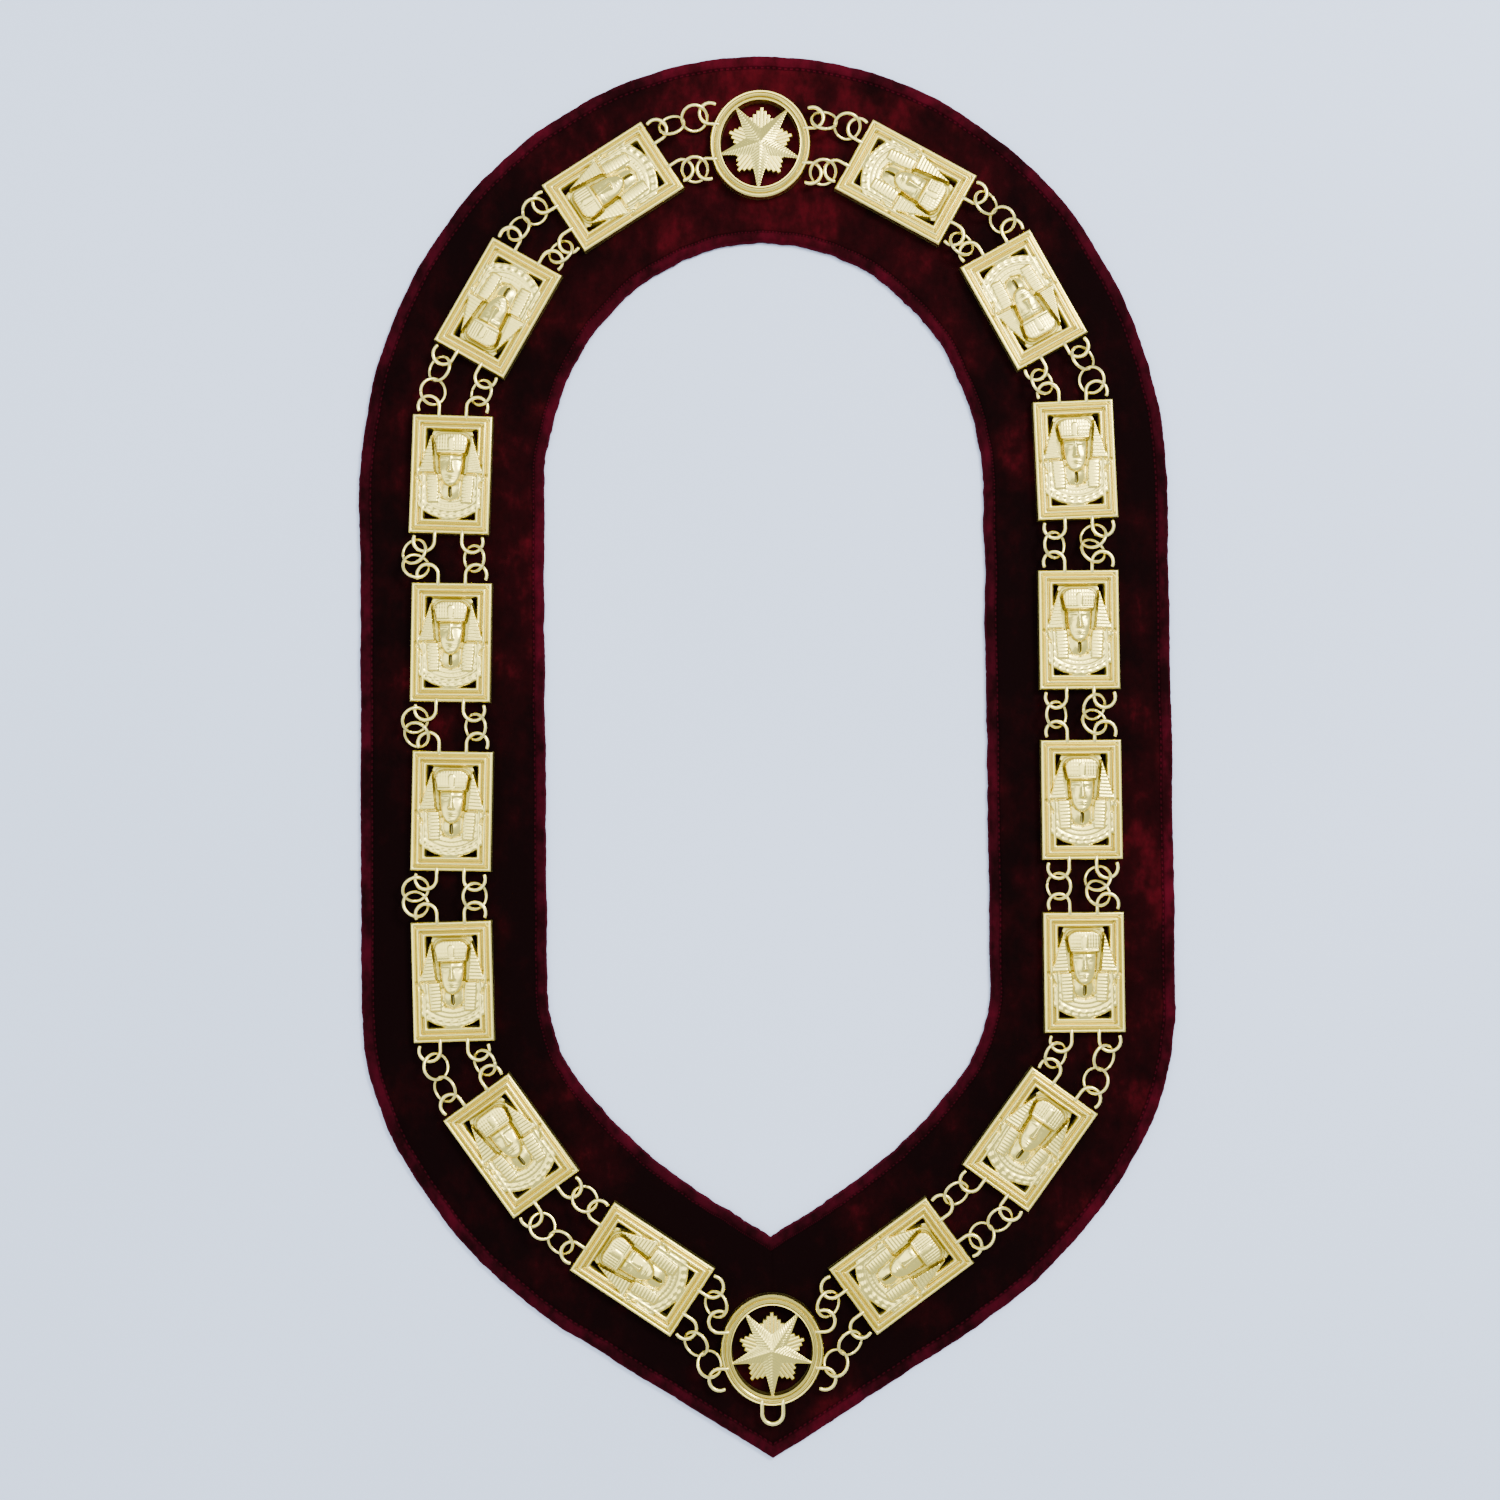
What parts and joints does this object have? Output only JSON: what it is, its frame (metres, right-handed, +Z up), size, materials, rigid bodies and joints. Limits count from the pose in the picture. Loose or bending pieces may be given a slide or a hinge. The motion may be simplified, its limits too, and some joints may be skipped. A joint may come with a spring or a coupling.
{
  "type": "ceremonial chain collar",
  "caption": "Ceremonial chain collar lying flat: pierced plaques with raised busts and oval star medallions joined by ring strands, on a pointed velvet band.",
  "frame": {"origin": "on the table under the middle of the velvet band's outline", "axes": "+Z up from the table the collar lies on, +Y towards the back of the neck, +X to the right as seen from above with the back of the neck at the top"},
  "size_m": [0.3224, 0.5566, 0.0096],
  "materials": {
    "velvet": "deep burgundy velvet, stitched round its turned edge",
    "gold_plate": "pale gold plate, polished on the raised parts and darker in the recesses"
  },
  "bodies": {
    "root": {"velvet_band": "velvet", "star_medallion_back": "gold_plate", "star_medallion_point": "gold_plate", "plaque_left_1": "gold_plate", "plaque_left_2": "gold_plate", "plaque_left_3": "gold_plate", "plaque_left_4": "gold_plate", "plaque_left_5": "gold_plate", "plaque_left_6": "gold_plate", "plaque_left_7": "gold_plate", "plaque_left_8": "gold_plate", "plaque_right_1": "gold_plate", "plaque_right_2": "gold_plate", "plaque_right_3": "gold_plate", "plaque_right_4": "gold_plate", "plaque_right_5": "gold_plate", "plaque_right_6": "gold_plate", "plaque_right_7": "gold_plate", "plaque_right_8": "gold_plate", "rings_left_inner_1": "gold_plate", "rings_left_inner_2": "gold_plate", "rings_left_inner_3": "gold_plate", "rings_left_inner_4": "gold_plate", "rings_left_inner_5": "gold_plate", "rings_left_inner_6": "gold_plate", "rings_left_inner_7": "gold_plate", "rings_left_inner_8": "gold_plate", "rings_left_inner_9": "gold_plate", "rings_left_outer_1": "gold_plate", "rings_left_outer_2": "gold_plate", "rings_left_outer_3": "gold_plate", "rings_left_outer_4": "gold_plate", "rings_left_outer_5": "gold_plate", "rings_left_outer_6": "gold_plate", "rings_left_outer_7": "gold_plate", "rings_left_outer_8": "gold_plate", "rings_left_outer_9": "gold_plate", "rings_right_inner_1": "gold_plate", "rings_right_inner_2": "gold_plate", "rings_right_inner_3": "gold_plate", "rings_right_inner_4": "gold_plate", "rings_right_inner_5": "gold_plate", "rings_right_inner_6": "gold_plate", "rings_right_inner_7": "gold_plate", "rings_right_inner_8": "gold_plate", "rings_right_inner_9": "gold_plate", "rings_right_outer_1": "gold_plate", "rings_right_outer_2": "gold_plate", "rings_right_outer_3": "gold_plate", "rings_right_outer_4": "gold_plate", "rings_right_outer_5": "gold_plate", "rings_right_outer_6": "gold_plate", "rings_right_outer_7": "gold_plate", "rings_right_outer_8": "gold_plate", "rings_right_outer_9": "gold_plate"}
  },
  "joints": []
}
